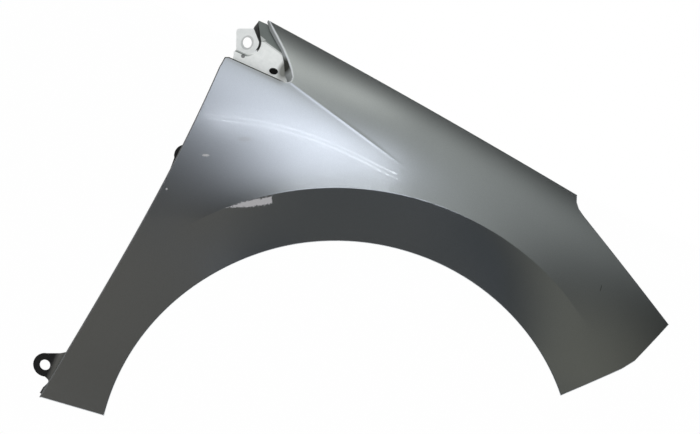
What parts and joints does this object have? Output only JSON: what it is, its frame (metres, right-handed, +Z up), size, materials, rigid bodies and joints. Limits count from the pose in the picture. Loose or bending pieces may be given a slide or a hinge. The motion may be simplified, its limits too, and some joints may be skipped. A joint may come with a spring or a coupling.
{
  "type": "car fender",
  "caption": "Right-hand front wing of a passenger car: a curved steel panel over a round wheel arch, with folded edges and welded fixing brackets.",
  "frame": {"origin": "on the back face of the pillar bracket's bolt pad, beside its bolt slot, where the fender is bolted to the body above the door", "axes": "+X forward along the car, +Z up, +Y inboard towards the middle of the car, so the painted face looks towards -Y"},
  "size_m": [0.8503, 0.1376, 0.6444],
  "materials": {
    "silver_paint": "metallic silver under clear lacquer, scuffed above the arch",
    "black_primer": "satin black primer",
    "black_rubber": "dull black rubber"
  },
  "bodies": {
    "root": {"fender_panel": "silver_paint", "pillar_bracket": "silver_paint", "oval_plug": "black_rubber", "lower_rear_bracket": "black_primer", "rear_ear_bracket": "black_primer"}
  },
  "joints": []
}
